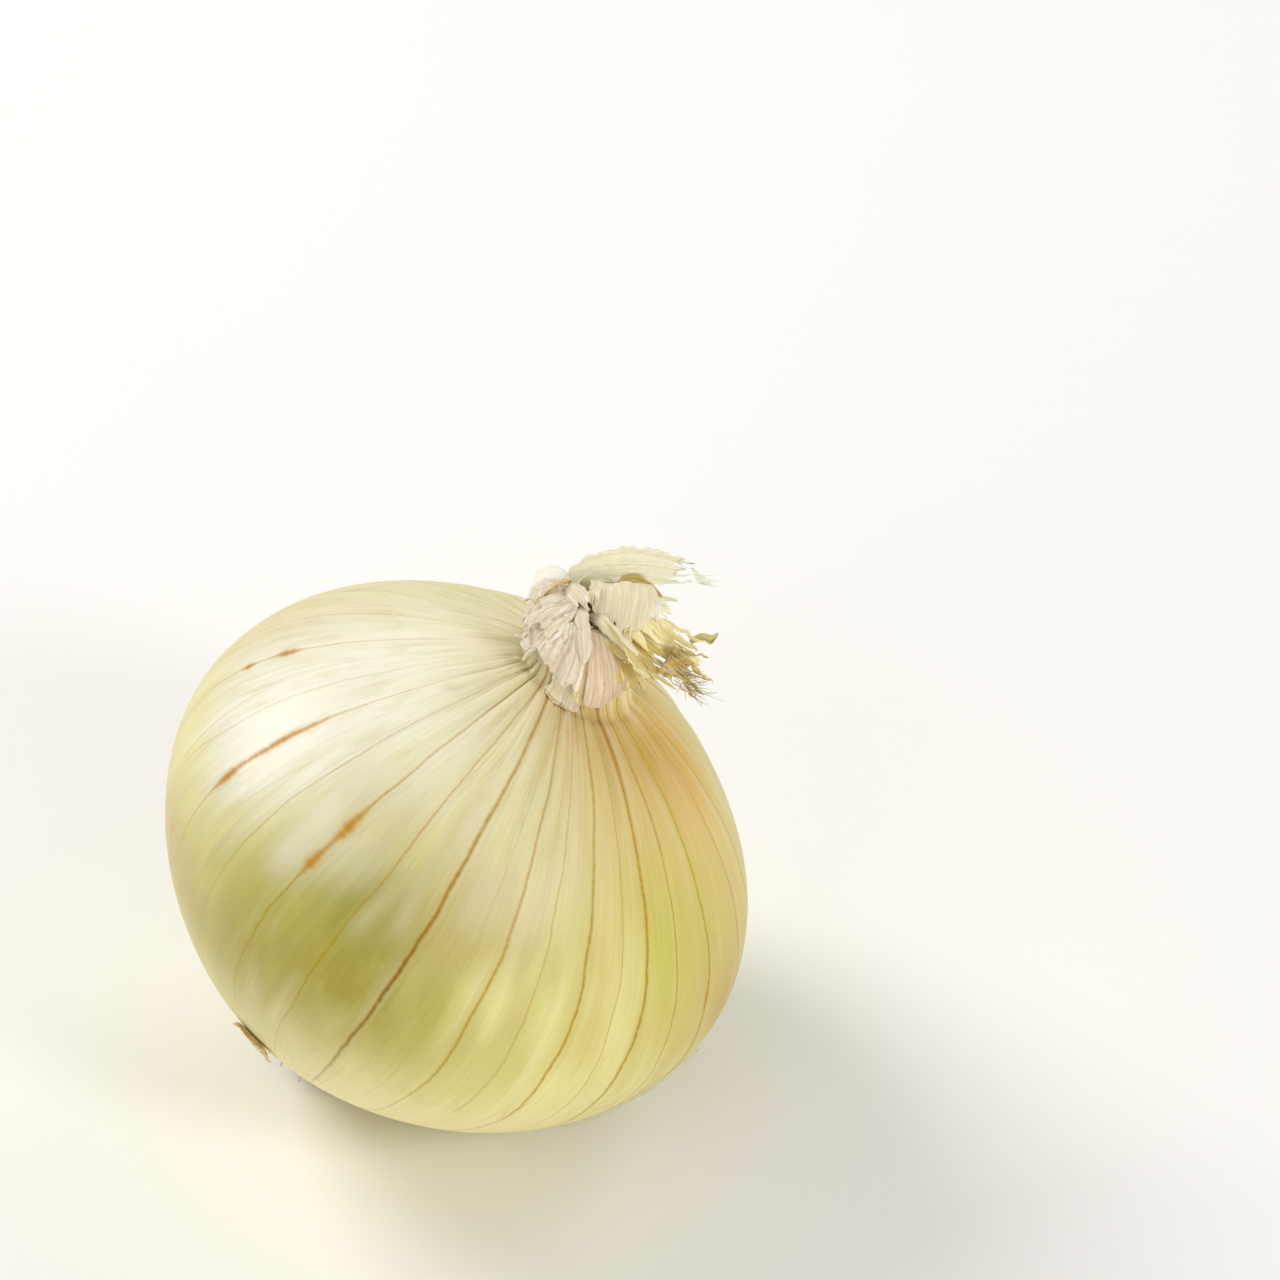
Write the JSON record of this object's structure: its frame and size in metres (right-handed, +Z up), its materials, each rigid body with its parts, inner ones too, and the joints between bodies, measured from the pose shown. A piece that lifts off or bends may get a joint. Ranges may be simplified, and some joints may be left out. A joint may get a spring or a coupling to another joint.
{
  "type": "onion",
  "caption": "Pale yellow sweet onion with fine lengthwise veins, a torn papery neck and dried rootlets, leaning on a small flat spot.",
  "frame": {"origin": "the lowest point of the round bulb, on the small flat spot it rests on", "axes": "+Z up from the surface it rests on; the bulb leans 29 degrees from +Z towards +X, so the neck points up and to +X"},
  "size_m": [0.0814, 0.0864, 0.0883],
  "materials": {
    "onion_skin": "satin",
    "rootlets": "matte",
    "pink_papery_leaf": "matte",
    "papery_leaf": "satin",
    "dry_outer_skin": "satin",
    "straw_leaf": "matte",
    "green_dry_leaf": "matte",
    "brown_leaf_tip": "matte"
  },
  "bodies": {
    "root": {"bulb": "onion_skin", "root_tuft": "rootlets", "neck_collar": "pink_papery_leaf", "shoulder_flap": "pink_papery_leaf", "hem_film": "papery_leaf", "skin_scrap": "dry_outer_skin", "skin_film": "papery_leaf", "leaf_strip": "straw_leaf", "white_curl": "papery_leaf", "square_flap": "papery_leaf", "pale_flap": "papery_leaf", "twisted_leaf": "green_dry_leaf", "fibre_fan": "straw_leaf", "brown_tips": "brown_leaf_tip", "leaf_bit": "green_dry_leaf"}
  },
  "joints": []
}
